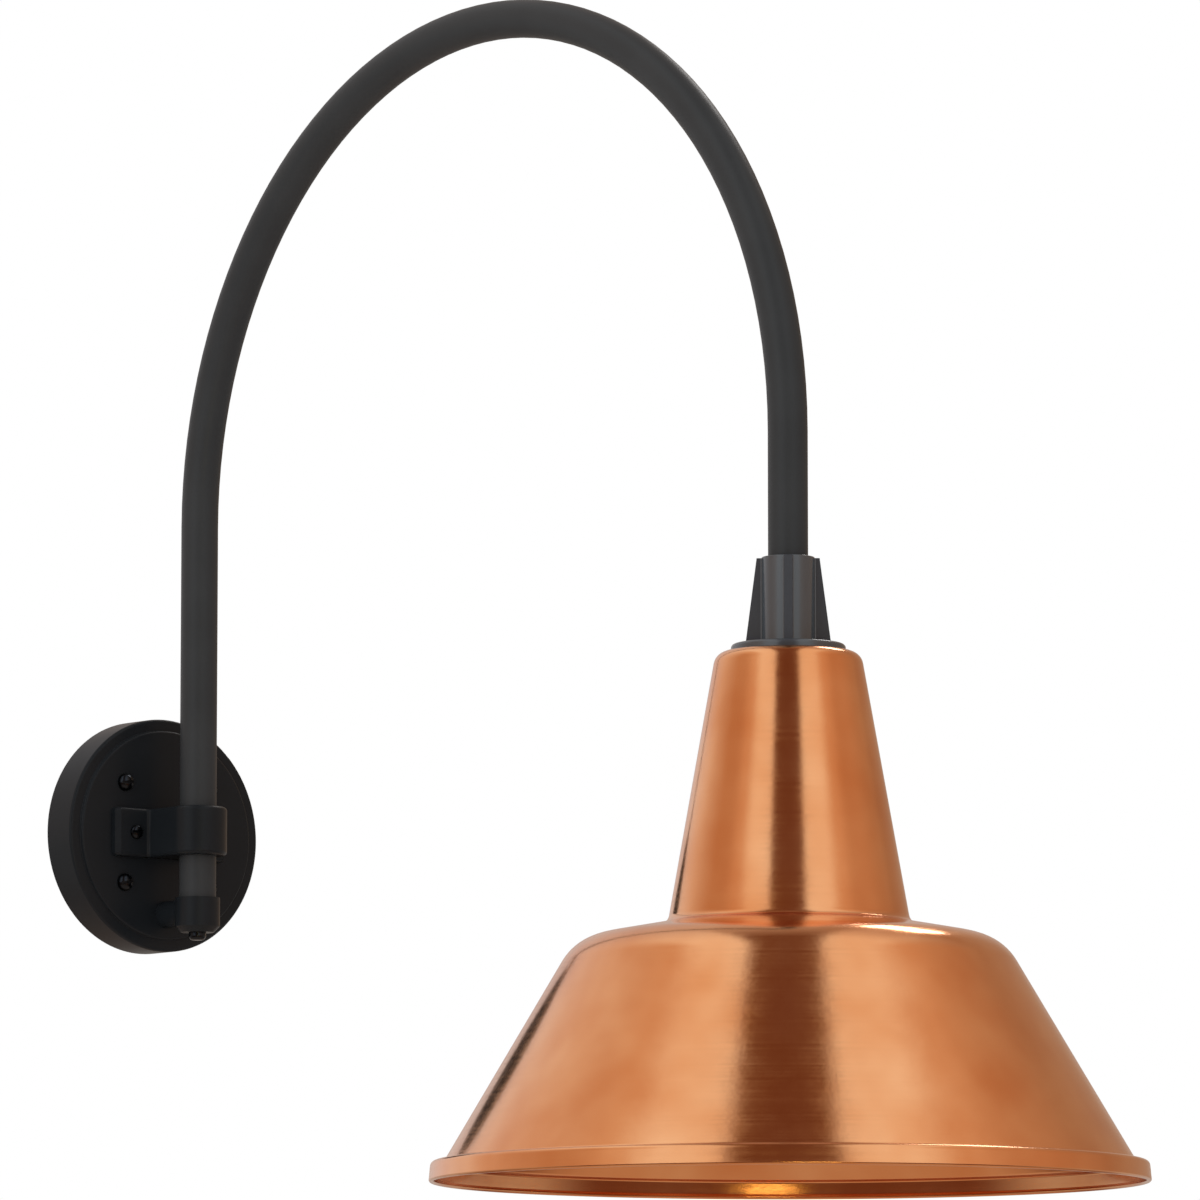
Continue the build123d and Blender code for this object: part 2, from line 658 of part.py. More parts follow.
with BuildPart() as bulb_insulator:
    with BuildSketch(level_plane(shade_out, bulb_cap_top_z)):
        Circle(INSULATOR_R)
    with BuildSketch(level_plane(shade_out, insulator_top_z)):
        Circle(CONTACT_R)
    loft()

with BuildPart() as bulb_cap:
    with BuildSketch(level_plane(shade_out, bulb_cap_base_z)):
        Circle(bulb_cap_r)
    extrude(amount=BULB_CAP_H)
    with BuildSketch(level_plane(shade_out, bulb_cap_base_z)):
        Circle(bulb_cap_r - BULB_CAP_WALL)
    extrude(amount=BULB_CAP_H - BULB_CAP_WALL, mode=Mode.SUBTRACT)

glass_top_z = bulb_cap_base_z + GLASS_IN_CAP
glass_slope_z = bulb_cap_base_z - BULB_WAIST
glass_barrel_z = glass_slope_z - BULB_SLOPE
glass_base_z = glass_barrel_z - BULB_BARREL
with BuildPart() as bulb_glass:
    with BuildSketch(upright_plane(shade_out)):
        with BuildLine():
            FilletPolyline(
                (bulb_neck_r, glass_top_z),
                (bulb_neck_r, glass_slope_z),
                (BULB_R, glass_barrel_z),
                (BULB_R, glass_base_z),
                (0, glass_base_z),
                radius=[BULB_NECK_FILLET, BULB_SIDE_FILLET, BULB_R - GLASS_T],
            )
            offset(amount=GLASS_T, side=Side.RIGHT)
        make_face()
    revolve(axis=head_axis)

pieces = {
    "mounting_plate": mounting_plate,
    "ground_screw": ground_screw,
    "canopy": canopy,
    "canopy_screws": canopy_screws,
    "arm_bracket": arm_bracket,
    "bracket_screws": bracket_screws,
    "bracket_nuts": bracket_nuts,
    "bracket_set_screw": bracket_set_screw,
    "wire_elbow": wire_elbow,
    "elbow_nut": elbow_nut,
    "thrust_washer": thrust_washer,
    "supply_cable": supply_cable,
    "gooseneck_tube": gooseneck_tube,
    "tube_plug": tube_plug,
    "pivot_screw": pivot_screw,
    "arm_cable": arm_cable,
    "fitter_hub": fitter_hub,
    "hub_set_screws": hub_set_screws,
    "copper_shade": copper_shade,
    "shade_washer": shade_washer,
    "nipple": nipple,
    "nipple_nut": nipple_nut,
    "socket_cap": socket_cap,
    "socket_body": socket_body,
    "screw_shell": screw_shell,
    "centre_contact": centre_contact,
    "head_cable": head_cable,
    "bulb_contact": bulb_contact,
    "bulb_insulator": bulb_insulator,
    "bulb_cap": bulb_cap,
    "bulb_glass": bulb_glass,
}
os.makedirs("parts", exist_ok=True)
for name, piece in pieces.items():
    piece.part.label = name
    export_step(piece.part, f"parts/{name}.step")
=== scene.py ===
# %% [markdown]
# A barn light for a wall: a black canopy and gooseneck arm carry a spun copper shade. The solid
# pieces come in already built, at their real size and place. This lesson gives them their finish,
# remakes the pieces that want a finer surface with Geometry Nodes, and sets up the studio.

# %% Load the built pieces
import json
from math import cos, pi, radians, sin, tan

import bpy
from mathutils import Matrix, Vector


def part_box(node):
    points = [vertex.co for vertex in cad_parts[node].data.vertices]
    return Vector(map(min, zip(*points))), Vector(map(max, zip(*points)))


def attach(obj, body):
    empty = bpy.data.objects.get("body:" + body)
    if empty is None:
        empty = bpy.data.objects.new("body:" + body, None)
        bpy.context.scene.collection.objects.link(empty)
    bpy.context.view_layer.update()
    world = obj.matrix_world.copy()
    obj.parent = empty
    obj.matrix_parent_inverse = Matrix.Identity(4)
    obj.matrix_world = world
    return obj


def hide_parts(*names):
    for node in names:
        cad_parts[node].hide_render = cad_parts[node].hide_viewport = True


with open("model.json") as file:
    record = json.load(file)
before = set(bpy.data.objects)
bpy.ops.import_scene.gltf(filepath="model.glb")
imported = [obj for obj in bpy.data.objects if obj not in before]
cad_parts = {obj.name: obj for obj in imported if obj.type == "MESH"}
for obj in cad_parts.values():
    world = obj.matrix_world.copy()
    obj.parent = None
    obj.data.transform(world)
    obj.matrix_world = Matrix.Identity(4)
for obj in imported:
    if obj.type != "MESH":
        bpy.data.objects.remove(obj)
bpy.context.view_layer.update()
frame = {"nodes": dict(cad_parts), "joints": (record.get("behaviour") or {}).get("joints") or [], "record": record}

MM = 0.001
scene = bpy.context.scene
nodes = frame["nodes"]
joints = {joint["name"]: joint for joint in frame["joints"]}
head_axis = Vector(joints["hub_turn"]["pos_m"])

# %% [markdown]
# Every finish and every node-built shape below is a small graph of nodes. One helper adds a node,
# sets its options and fills its sockets, with plain values or with links from other nodes. Colours
# are written as the hex values a paint chart gives, so one function turns them into the linear
# values that Blender mixes light in. A Mix node has sockets for every kind of value, most of them
# under the same names, so the ones for colours are given by their numbers.

# %% Helpers for node graphs and colours
MIX_FIRST, MIX_SECOND, MIX_RESULT = 6, 7, 2


def add(tree, kind, sockets=None, **options):
    """Adds a node; sockets maps a socket's name or number to a value, a node or another socket."""
    node = tree.nodes.new(kind)
    for option, value in options.items():
        setattr(node, option, value)
    for key, value in (sockets or {}).items():
        if isinstance(value, bpy.types.Node):
            tree.links.new(value.outputs[0], node.inputs[key])
        elif isinstance(value, bpy.types.NodeSocket):
            tree.links.new(value, node.inputs[key])
        else:
            node.inputs[key].default_value = value
    return node


def colour(code):
    """Linear colour of an sRGB hex code such as #808080."""
    parts = [int(code[place:place + 2], 16) / 255 for place in (1, 3, 5)]
    return [part / 12.92 if part <= 0.04045 else ((part + 0.055) / 1.055) ** 2.4 for part in parts] + [1.0]


def new_finish(name, **sockets):
    """A material with one Principled shader; underscores in a socket's name stand for spaces."""
    material = bpy.data.materials.new(name)
    material.use_nodes = True
    tree = material.node_tree
    tree.nodes.clear()
    named = {key.replace("_", " "): value for key, value in sockets.items()}
    shader = add(tree, "ShaderNodeBsdfPrincipled", named)
    add(tree, "ShaderNodeOutputMaterial", {"Surface": shader})
    return material, tree, shader


def surface(tree, shader, tone, first, second, polish, rough_low, rough_high, height, depth):
    """Gives a shader a colour between two hex codes, an uneven polish and a relief that deep."""
    paint = add(tree, "ShaderNodeMix", {"Factor": tone, MIX_FIRST: colour(first),
                                        MIX_SECOND: colour(second)}, data_type="RGBA")
    rough = add(tree, "ShaderNodeMapRange", {"Value": polish, "To Min": rough_low, "To Max": rough_high})
    relief = add(tree, "ShaderNodeBump", {"Height": height, "Strength": 1.0, "Distance": depth})
    tree.links.new(paint.outputs[MIX_RESULT], shader.inputs["Base Color"])
    tree.links.new(rough.outputs[0], shader.inputs["Roughness"])
    tree.links.new(relief.outputs[0], shader.inputs["Normal"])


print("a mid grey, #808080, in linear light:", [round(part, 3) for part in colour("#808080")[:3]])

# %% [markdown]
# The shade is sheet copper spun over a form on a lathe, polished and lacquered. Copper is a metal,
# so all its colour is in its reflections, and the lacquer adds a clear coat that whitens the edges.
# The spinner's tool leaves faint rings round the axis, and handling leaves soft clouds. The rings
# follow the distance along the sheet, which grows with the radius and with the way down, so radius
# less height stands for it.

# %% Spun copper
RING_PITCH = 2.4 * MM    # tool rings, drawn coarser than the real half millimetre so that they show
CLOUD_SIZE = 42 * MM     # handling clouds
MOTTLE_SIZE = 9 * MM     # small mottle inside the clouds
TOOL_DEPTH = 0.004 * MM  # relief of the rings
DENT_DEPTH = 0.06 * MM   # relief of the mottle, where the sheet followed the form unevenly


def spun_copper():
    """Polished, lacquered copper: warm mirror bands, slightly blurred by the spinning rings."""
    material, tree, shader = new_finish("spun_copper_lacquered", Metallic=1.0, Coat_Weight=0.3,
                                        Coat_Roughness=0.05)
    place = add(tree, "ShaderNodeTexCoord").outputs["Object"]
    centred = add(tree, "ShaderNodeMapping", {"Vector": place, "Location": -head_axis})
    parts = add(tree, "ShaderNodeSeparateXYZ", {"Vector": centred})
    flat = add(tree, "ShaderNodeCombineXYZ", {"X": parts.outputs["X"], "Y": parts.outputs["Y"]})
    radius = add(tree, "ShaderNodeVectorMath", {0: flat}, operation="LENGTH").outputs["Value"]
    along = add(tree, "ShaderNodeMath", {0: radius, 1: parts.outputs["Z"]}, operation="SUBTRACT")
    rings = add(tree, "ShaderNodeTexNoise", {"W": along, "Scale": 1 / RING_PITCH, "Detail": 2.0},
                noise_dimensions="1D")
    clouds = add(tree, "ShaderNodeTexNoise", {"Vector": centred, "Scale": 1 / CLOUD_SIZE, "Detail": 2.0})
    mottle = add(tree, "ShaderNodeTexNoise", {"Vector": centred, "Scale": 1 / MOTTLE_SIZE, "Detail": 3.0})
    worn = add(tree, "ShaderNodeMath", {0: rings, 1: mottle}, operation="MULTIPLY")
    marks = add(tree, "ShaderNodeMath", {0: mottle, 1: DENT_DEPTH / TOOL_DEPTH, 2: rings},
                operation="MULTIPLY_ADD")
    surface(tree, shader, tone=clouds, first="#D98040", second="#FABF8C", polish=worn, rough_low=0.12,
            rough_high=0.32, height=marks, depth=TOOL_DEPTH)
    return material


copper = spun_copper()
print("finish:", copper.name)

# %% [markdown]
# The arm, canopy and bracket are powder coated: dry paint is dusted on and baked, and it flows into
# a satin skin with a very fine orange peel. The tube, the canopy and the bracket wear one black
# paint, made here as two copies: a lighter soft satin on the bent tube, which is painted light, and
# a deeper black on the canopy and its bracket, which is painted shade. The hub is charcoal over its
# rough casting, lighter than that black partly as its own finish and partly as painted light. One
# function makes all three, with colours, grain and polish as its inputs, so that they stay one family.

# %% Powder coat
COAT_PATCH = 25  # size of the uneven patches of a coat, in grains of its orange peel


def powder_coat(name, dark, light, grain, depth, rough_low, rough_high, **sockets):
    """Satin paint over metal: soft wide highlights, broken up by an orange peel of that grain."""
    material, tree, shader = new_finish(name, **sockets)
    place = add(tree, "ShaderNodeTexCoord").outputs["Object"]
    peel = add(tree, "ShaderNodeTexNoise", {"Vector": place, "Scale": 1 / grain, "Detail": 2.0})
    patches = add(tree, "ShaderNodeTexNoise", {"Vector": place, "Scale": 1 / (COAT_PATCH * grain),
                                               "Detail": 2.0})
    surface(tree, shader, patches, dark, light, patches, rough_low, rough_high, peel, depth)
    return material


# painted light: the tube's black is drawn lighter than the canopy's, though both are one paint
lit_copy_tube_black = powder_coat("black_powder_coat_lit_copy", "#2C2D2E", "#343536", grain=1.2 * MM,
                         depth=0.010 * MM, rough_low=0.38, rough_high=0.48, Specular_IOR_Level=0.15)
# painted shade: the canopy and bracket get a darker copy of that same black
black_paint = powder_coat("black_powder_coat_shaded_copy", "#14171A", "#1A1D20", grain=1.0 * MM,
                          depth=0.012 * MM, rough_low=0.30, rough_high=0.44, Specular_IOR_Level=0.15)
# the hub's charcoal is its own cast finish, drawn lighter in part as painted light
hub_paint = powder_coat("charcoal_casting_coat_with_painted_light", "#30353A", "#383D42", grain=2.0 * MM,
                        depth=0.025 * MM, rough_low=0.18, rough_high=0.28, Specular_IOR_Level=0.9)
print("finishes:", lit_copy_tube_black.name, black_paint.name, hub_paint.name)

# %% [markdown]
# The small metal pieces are plated or blackened: zinc on the hidden steel, nickel on the lamp's
# cap, brass in the lamp holder, black oxide on the screws. They share one recipe, a metal whose
# tone and polish change a little from place to place, and differ in colour, roughness and grain.

# %% Plated and plain metals
PLATE_PATCH = 8          # size of the uneven patches of a plating, in grains of its marks
MARK_DEPTH = 0.004 * MM  # relief of the handling marks


def small_metal(name, first, second, grain, rough_low, rough_high):
    """Plated or plain metal with faint uneven patches and fine handling marks."""
    material, tree, shader = new_finish(name, Metallic=1.0)
    place = add(tree, "ShaderNodeTexCoord").outputs["Object"]
    patches = add(tree, "ShaderNodeTexNoise", {"Vector": place, "Scale": 1 / (PLATE_PATCH * grain),
                                               "Detail": 2.0})
    marks = add(tree, "ShaderNodeTexNoise", {"Vector": place, "Scale": 1 / grain, "Detail": 4.0})
    surface(tree, shader, patches, first, second, marks, rough_low, rough_high, marks, MARK_DEPTH)
    return material


# slot: name, two tones, grain, least and most roughness
metals = {
    "black_screw": small_metal("black_oxide_steel", "#272B31", "#33383F", 1.0 * MM, 0.20, 0.36),
    "zinc_steel": small_metal("zinc_plated_steel", "#C3C7CB", "#D2CFC2", 1.5 * MM, 0.25, 0.45),
    "green_paint": small_metal("green_dyed_steel", "#2E7D4A", "#3F9460", 1.2 * MM, 0.30, 0.45),
    "brass": small_metal("plain_brass", "#D3AE5C", "#C79C4B", 1.5 * MM, 0.20, 0.40),
    "nickel": small_metal("nickel_plated_brass", "#CFCAC0", "#C2BCB0", 1.0 * MM, 0.16, 0.32),
    "solder": small_metal("lamp_solder", "#A9ABAD", "#BDBEBF", 0.8 * MM, 0.35, 0.60),
}
print("metals:", [metal.name for metal in metals.values()])

# %% [markdown]
# The rest of the lamp holder and the lamp is ceramic, glass, rubber and nylon. None of them is a
# metal, so their colour lies under a clear surface reflection, and what tells them apart is how
# sharp that reflection is and how fine their grain.

# %% Ceramic, glass, rubber and nylon
SPECK_DEPTH = 0.003 * MM  # relief of the grain


def plain_body(name, first, second, grain, rough_low, rough_high, **sockets):
    """A non-metal with a faint grain in its colour, polish and surface."""
    material, tree, shader = new_finish(name, **sockets)
    place = add(tree, "ShaderNodeTexCoord").outputs["Object"]
    speck = add(tree, "ShaderNodeTexNoise", {"Vector": place, "Scale": 1 / grain, "Detail": 3.0})
    surface(tree, shader, speck, first, second, speck, rough_low, rough_high, speck, SPECK_DEPTH)
    return material


# slot: name, two tones, grain, least and most roughness, other sockets
bodies = {
    "porcelain": plain_body("glazed_porcelain", "#EAE6DD", "#F1EEE8", 2.5 * MM, 0.08, 0.16,
                            Coat_Weight=0.5, Coat_Roughness=0.04),
    "cable_jacket": plain_body("extruded_rubber", "#171717", "#202020", 0.8 * MM, 0.55, 0.70),
    "nylon": plain_body("natural_nylon", "#D9D4C4", "#E2DED1", 1.5 * MM, 0.45, 0.60, IOR=1.53),
    "black_glass": plain_body("black_lamp_glass", "#101014", "#18181D", 1.5 * MM, 0.06, 0.12, IOR=1.52),
    "opal_glass": plain_body("opal_lamp_glass", "#F0EBE0", "#F6F2EA", 6.0 * MM, 0.14, 0.22,
                             IOR=1.52, Coat_Weight=0.6, Coat_Roughness=0.03),
}
print("bodies:", [body.name for body in bodies.values()])

# %% [markdown]
# Every built piece names its material slot in the record. A loop puts the finish of that name on
# the piece, so no piece keeps the plain grey it came with, and a piece that is remade below takes
# its finish from the same table. The bent tube shares the canopy's slot, and gets the lighter copy
# of that black afterwards, which is painted light.

# %% Dress the built pieces
finishes = {"copper": copper, "black_paint": black_paint, "hub_paint": hub_paint, **metals, **bodies}
slot_of = {subpart["node"]: subpart["material_slot"] for subpart in frame["record"]["subparts"]}
for node, slot in slot_of.items():
    for material_slot in nodes[node].material_slots:
        material_slot.material = finishes[slot]
# painted light: the tube gets the lighter copy of the canopy's black
for material_slot in nodes["gooseneck_tube"].material_slots:
    material_slot.material = lit_copy_tube_black
print(len(slot_of), "pieces dressed in", len(finishes) + 1, "finishes")

# %% [markdown]
# A node tree for a shape has named inputs for its sizes, so the same tree can make the piece at
# another size. The helpers here start such a tree, end it with its finish, and run it once on an
# empty object. What comes out is kept as a plain mesh that rides on the body of the piece it
# replaces, because the exported model knows nothing of node trees.

# %% Helpers for shapes made by node trees
def new_tree(name, inputs):
    """An empty shape tree with those named inputs; gives the tree and its input sockets."""
    tree = bpy.data.node_groups.new(name, "GeometryNodeTree")
    tree.interface.new_socket("Geometry", in_out="OUTPUT", socket_type="NodeSocketGeometry")
    for title, kind in inputs.items():
        tree.interface.new_socket(title, in_out="INPUT", socket_type="NodeSocket" + kind)
    return tree, add(tree, "NodeGroupInput").outputs


def end_tree(tree, shape, finish):
    """Ends a tree with real geometry in its finish."""
    real = add(tree, "GeometryNodeRealizeInstances", {"Geometry": shape})
    dressed = add(tree, "GeometryNodeSetMaterial", {"Geometry": real, "Material": finish})
    add(tree, "NodeGroupOutput", {"Geometry": dressed})


def grow(name, tree, values, node, *steps):
    """Runs a tree once and then the finishing modifiers; the result stands for that CAD node."""
    piece = bpy.data.objects.new(name, bpy.data.meshes.new(name))
    scene.collection.objects.link(piece)
    maker = piece.modifiers.new("maker", "NODES")
    maker.node_group = tree
    values = {"Finish": finishes[slot_of[node]], **values}
    for socket in tree.interface.items_tree:
        if socket.in_out == "INPUT":
            maker[socket.identifier] = values[socket.name]
    for kind, options in steps:
        step = piece.modifiers.new(kind.lower(), kind)
        for option, value in options.items():
            setattr(step, option, value)
    grown = piece.evaluated_get(bpy.context.evaluated_depsgraph_get())
    mesh = bpy.data.meshes.new_from_object(grown)
    piece.modifiers.clear()
    piece.data = mesh
    body = next(body for body, members in frame["record"]["behaviour"]["bodies"].items() if node in members)
    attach(piece, body)
    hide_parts(node)
    print(name, "on", body, "has", len(mesh.polygons), "faces")


# %% [markdown]
# Spun metal and blown glass are both turned: a line of a few corners, some of them rounded, goes
# once round an upright axis. In the tree each corner has a radius, a height and a rounding. A
# Fillet Curve node rounds them, and Curve to Mesh carries the line round a small circle. The
# circle is the lathe's spindle, so its radius is taken off the line first.

# %% A tree for turned pieces
SPINDLE_R = 1 * MM
SAME_PLACE = 0.02 * MM  # points closer than this become one, which closes seams and poles


def turned_tree(name, corners):
    """Tree that rounds a line of named corners and turns it about an upright axis."""
    inputs = {"Axis": "Vector", "Turn Steps": "Int", "Rounding Steps": "Int", "Finish": "Material"}
    for corner in corners:
        inputs.update({corner + size: "Float" for size in (" Radius", " Height", " Rounding")})
    tree, given = new_tree(name, inputs)
    index = add(tree, "GeometryNodeInputIndex")
    place = add(tree, "GeometryNodeIndexSwitch", {"Index": index}, data_type="VECTOR")
    rounding = add(tree, "GeometryNodeIndexSwitch", {"Index": index}, data_type="FLOAT")
    for number, corner in enumerate(corners, 1):
        if number > 2:
            place.index_switch_items.new()
            rounding.index_switch_items.new()
        drop = add(tree, "ShaderNodeMath", {0: given[corner + " Height"], 1: -1.0}, operation="MULTIPLY")
        point = add(tree, "ShaderNodeCombineXYZ", {"X": given[corner + " Radius"], "Y": drop})
        tree.links.new(point.outputs[0], place.inputs[number])
        tree.links.new(given[corner + " Rounding"], rounding.inputs[number])
    line = add(tree, "GeometryNodeMeshLine", {"Count": len(corners)})
    bent = add(tree, "GeometryNodeSetPosition", {"Geometry": line, "Position": place,
                                                 "Offset": (-SPINDLE_R, 0, 0)})
    outline = add(tree, "GeometryNodeMeshToCurve", {"Mesh": bent})
    rounded = add(tree, "GeometryNodeFilletCurve", {"Curve": outline, "Count": given["Rounding Steps"],
                                                    "Radius": rounding, "Limit Radius": True}, mode="POLY")
    spindle = add(tree, "GeometryNodeCurvePrimitiveCircle", {"Resolution": given["Turn Steps"],
                                                             "Radius": SPINDLE_R})
    turned = add(tree, "GeometryNodeCurveToMesh", {"Curve": spindle, "Profile Curve": rounded})
    closed = add(tree, "GeometryNodeMergeByDistance", {"Geometry": turned, "Distance": SAME_PLACE})
    smooth = add(tree, "GeometryNodeSetShadeSmooth", {"Geometry": closed})
    placed = add(tree, "GeometryNodeTransform", {"Geometry": smooth, "Translation": given["Axis"]})
    end_tree(tree, placed, given["Finish"])
    return tree


def corner_values(corners):
    """Input values of a turned tree, from a table of corner: (radius, height, rounding)."""
    sizes = {}
    for corner, (radius, height, rounding) in corners.items():
        sizes.update({corner + " Radius": radius, corner + " Height": height,
                      corner + " Rounding": rounding})
    return sizes


print("spindle radius in mm:", SPINDLE_R / MM)

# %% [markdown]
# The shade's line starts at the hole for its nipple, runs over the neck, the shoulder and the skirt,
# steps out to the lip and ends in a hem that is rolled inwards. The line is the outside of the
# sheet, so Solidify adds the sheet's thickness inwards. Weighted normals keep the long straight
# stretches truly straight in the reflections and leave the bending to the rounded corners.

# %% Spun copper shade
low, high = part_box("copper_shade")
top, rim, lip_r = high.z, low.z, (high.x - low.x) / 2
SHEET_T = 1.0 * MM
HOLE_R, NECK_TOP_R, NECK_BASE_R, SHOULDER_R = 4.95 * MM, 36.1 * MM, 60.1 * MM, 106.0 * MM
NECK_H, SHOULDER_DROP, LIP_H = 135.0 * MM, 8.35 * MM, 10.4 * MM
LEDGE_W, LIP_FLARE, HEM_R = 6.6 * MM, 1.0 * MM, 1.3 * MM
TOP_ROUND, NECK_ROUND, SHOULDER_ROUND = 7.2 * MM, 5.0 * MM, 28.2 * MM
SKIRT_ROUND, LEDGE_ROUND = 1.6 * MM, 2.6 * MM
ledge_r = lip_r - LIP_FLARE
shade_corners = {
    "Hole": (HOLE_R, top, 0.0),
    "Neck Top": (NECK_TOP_R, top, TOP_ROUND),
    "Neck Base": (NECK_BASE_R, top - NECK_H, NECK_ROUND),
    "Shoulder": (SHOULDER_R, top - NECK_H - SHOULDER_DROP, SHOULDER_ROUND),
    "Skirt Base": (ledge_r - LEDGE_W, rim + LIP_H, SKIRT_ROUND),
    "Ledge Edge": (ledge_r, rim + LIP_H, LEDGE_ROUND),
    "Rim": (lip_r, rim, HEM_R),
    "Hem Floor": (lip_r - 2 * HEM_R, rim, HEM_R),
    "Hem Top": (lip_r - 2 * HEM_R, rim + 2 * HEM_R, HEM_R),
    "Hem End": (lip_r - HEM_R, rim + 2 * HEM_R, 0.0),
}
shade_sizes = {"Axis": (head_axis.x, head_axis.y, 0.0), "Turn Steps": 256, "Rounding Steps": 10}
sheet = ("SOLIDIFY", {"thickness": SHEET_T, "offset": -1.0, "use_even_offset": True})
even_normals = ("WEIGHTED_NORMAL", {"mode": "FACE_AREA", "weight": 100})
grow("spun_shade", turned_tree("turned_shade", shade_corners),
     {**shade_sizes, **corner_values(shade_corners)}, "copper_shade", sheet, even_normals)

# %% [markdown]
# The lamp's bulb is blown glass, so the same kind of tree makes it: a straight neck in its metal
# cap, a slope out to the full width and a round end. Its roundings are large and run into each
# other, which is what blowing gives.

# %% Lamp bulb
low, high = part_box("bulb_glass")
bulb_r = (high.x - low.x) / 2
GLASS_T = 1.0 * MM
BULB_NECK_R, BULB_NECK_L, SLOPE_H = 12.4 * MM, 15.0 * MM, 30.0 * MM
SLOPE_TOP_ROUND, SLOPE_END_ROUND = 20.0 * MM, 24.0 * MM
bulb_corners = {
    "Neck End": (BULB_NECK_R, high.z, 0.0),
    "Neck": (BULB_NECK_R, high.z - BULB_NECK_L, SLOPE_TOP_ROUND),
    "Side": (bulb_r, high.z - BULB_NECK_L - SLOPE_H, SLOPE_END_ROUND),
    "End": (bulb_r, low.z, bulb_r - GLASS_T),
    "Tip": (0.0, low.z, 0.0),
}
bulb_sizes = {"Axis": (head_axis.x, head_axis.y, 0.0), "Turn Steps": 96, "Rounding Steps": 16}
wall = ("SOLIDIFY", {"thickness": GLASS_T, "offset": -1.0, "use_even_offset": True})
grow("lamp_bulb", turned_tree("turned_bulb", bulb_corners),
     {**bulb_sizes, **corner_values(bulb_corners)}, "bulb_glass", wall)

# %% [markdown]
# The canopy and the bracket are held by round-head screws with a straight slot. One tree turns the
# screw, cuts its slot with a boolean and puts a copy at each point of a grid. Real screws stop
# wherever they bite, so each copy is spun by a seeded random angle. The grid is drawn lying down
# and then turned upright to face the room.

# %% A tree for slotted screws
SCREW_CORNERS = ["Crown", "Dome", "Seat", "Shank Top", "Shank End", "Tip"]
BAR_REACH = 3.0        # length of the bar that cuts the slot, in radii of the head
CREASE = radians(35)   # edges folded more than this stay sharp
screw_shape = turned_tree("turned_screw", SCREW_CORNERS)


def screws_tree():
    """Tree for a grid of slotted round-head screws that face the room."""
    sizes = ["Head Radius", "Head Height", "Dome Rounding", "Shank Radius", "Shank Length", "Slot Width",
             "Slot Depth", "Spacing X", "Spacing Z", "Most Spin"]
    inputs = {"Seat": "Vector", "Columns": "Int", "Rows": "Int", "Seed": "Int", "Finish": "Material"}
    tree, given = new_tree("slotted_screws", {**inputs, **{size: "Float" for size in sizes}})
    foot = add(tree, "ShaderNodeMath", {0: given["Shank Length"], 1: -1.0}, operation="MULTIPLY")
    corners = {"Crown Height": given["Head Height"], "Dome Radius": given["Head Radius"],
               "Dome Height": given["Head Height"], "Dome Rounding": given["Dome Rounding"],
               "Seat Radius": given["Head Radius"], "Shank Top Radius": given["Shank Radius"],
               "Shank End Radius": given["Shank Radius"], "Shank End Height": foot, "Tip Height": foot}
    screw = add(tree, "GeometryNodeGroup", {**corners, "Turn Steps": 48, "Rounding Steps": 10},
                node_tree=screw_shape)
    length = add(tree, "ShaderNodeMath", {0: given["Head Radius"], 1: BAR_REACH}, operation="MULTIPLY")
    depth = add(tree, "ShaderNodeMath", {0: given["Slot Depth"], 1: 2.0}, operation="MULTIPLY")
    bar_size = add(tree, "ShaderNodeCombineXYZ", {"X": length, "Y": given["Slot Width"], "Z": depth})
    crown = add(tree, "ShaderNodeCombineXYZ", {"Z": given["Head Height"]})
    bar = add(tree, "GeometryNodeMeshCube", {"Size": bar_size})
    raised = add(tree, "GeometryNodeTransform", {"Geometry": bar, "Translation": crown})
    slotted = add(tree, "GeometryNodeMeshBoolean", {"Mesh 1": screw, "Mesh 2": raised},
                  operation="DIFFERENCE")
    fold = add(tree, "GeometryNodeInputMeshEdgeAngle")
    sharp = add(tree, "FunctionNodeCompare", {0: fold.outputs["Unsigned Angle"], 1: CREASE})
    creased = add(tree, "GeometryNodeSetShadeSmooth", {"Geometry": slotted, "Selection": sharp,
                                                       "Shade Smooth": False}, domain="EDGE")
    grid = add(tree, "GeometryNodeMeshGrid", {"Size X": given["Spacing X"], "Size Y": given["Spacing Z"],
                                              "Vertices X": given["Columns"], "Vertices Y": given["Rows"]})
    least = add(tree, "ShaderNodeMath", {0: given["Most Spin"], 1: -1.0}, operation="MULTIPLY")
    spin = add(tree, "FunctionNodeRandomValue", {"Min": least, "Max": given["Most Spin"],
                                                 "Seed": given["Seed"]})
    turn = add(tree, "ShaderNodeCombineXYZ", {"Z": spin.outputs[1]})
    copies = add(tree, "GeometryNodeInstanceOnPoints", {"Points": grid, "Instance": creased,
                                                        "Rotation": turn})
    facing = add(tree, "GeometryNodeTransform", {"Geometry": copies, "Translation": given["Seat"],
                                                 "Rotation": (radians(90), 0, 0)})
    end_tree(tree, facing, given["Finish"])
    return tree


slotted_screws = screws_tree()
print("screw tree:", len(slotted_screws.nodes), "nodes")

# %% [markdown]
# Four screws hold the canopy to its plate, and one in each wing holds the bracket. They could be
# placed by hand, but here their grid and their length follow from the boxes of the built screws, so
# they still meet their holes if those move apart. A real slot has no knife edges, so a Bevel
# modifier breaks them, and they catch the light.

# %% Canopy and bracket screws
SHANK_R = 2.0 * MM
SLOT_W, SLOT_DEPTH, SLOT_EDGE = 1.3 * MM, 1.6 * MM, 0.15 * MM
DOME_SHARE = 0.95       # how much of the head's height is rounded
MOST_SPIN = radians(14)


